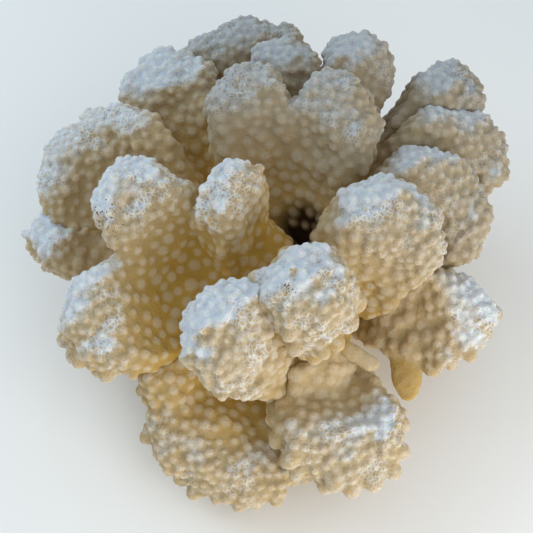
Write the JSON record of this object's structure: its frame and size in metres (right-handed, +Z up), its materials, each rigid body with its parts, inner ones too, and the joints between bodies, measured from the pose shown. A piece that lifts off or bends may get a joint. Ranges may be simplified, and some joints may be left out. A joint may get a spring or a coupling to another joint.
{
  "type": "branching coral",
  "caption": "Bleached cauliflower coral skeleton: thick flat branches in a dome, lobed at their crests and covered in rounded nubs, cut off flat below to stand on.",
  "frame": {"origin": "middle of the flat cut that the coral stands on", "axes": "+Z up, out of the cut and through the branches; -Y towards the front, the side of the tall club and ridge; +X to the right as seen from the front"},
  "size_m": [0.1698, 0.1662, 0.1047],
  "materials": {
    "skeleton": "matt, porous and finely pitted"
  },
  "bodies": {
    "root": {"base": "skeleton", "left_fan": "skeleton", "heart_branch": "skeleton", "front_ridge": "skeleton", "front_club": "skeleton", "right_front_branch": "skeleton", "right_middle_branch": "skeleton", "right_upper_branch": "skeleton", "right_back_branch": "skeleton", "tall_branch": "skeleton", "back_inner_branch": "skeleton", "back_fan": "skeleton", "back_left_branch": "skeleton", "left_back_branch": "skeleton", "low_left_branch": "skeleton", "low_right_branch": "skeleton", "low_front_right_branch": "skeleton", "low_front_left_branch": "skeleton", "back_low_branch": "skeleton", "back_right_low_branch": "skeleton", "back_left_low_branch": "skeleton", "right_low_branch": "skeleton", "left_low_branch": "skeleton"}
  },
  "joints": []
}
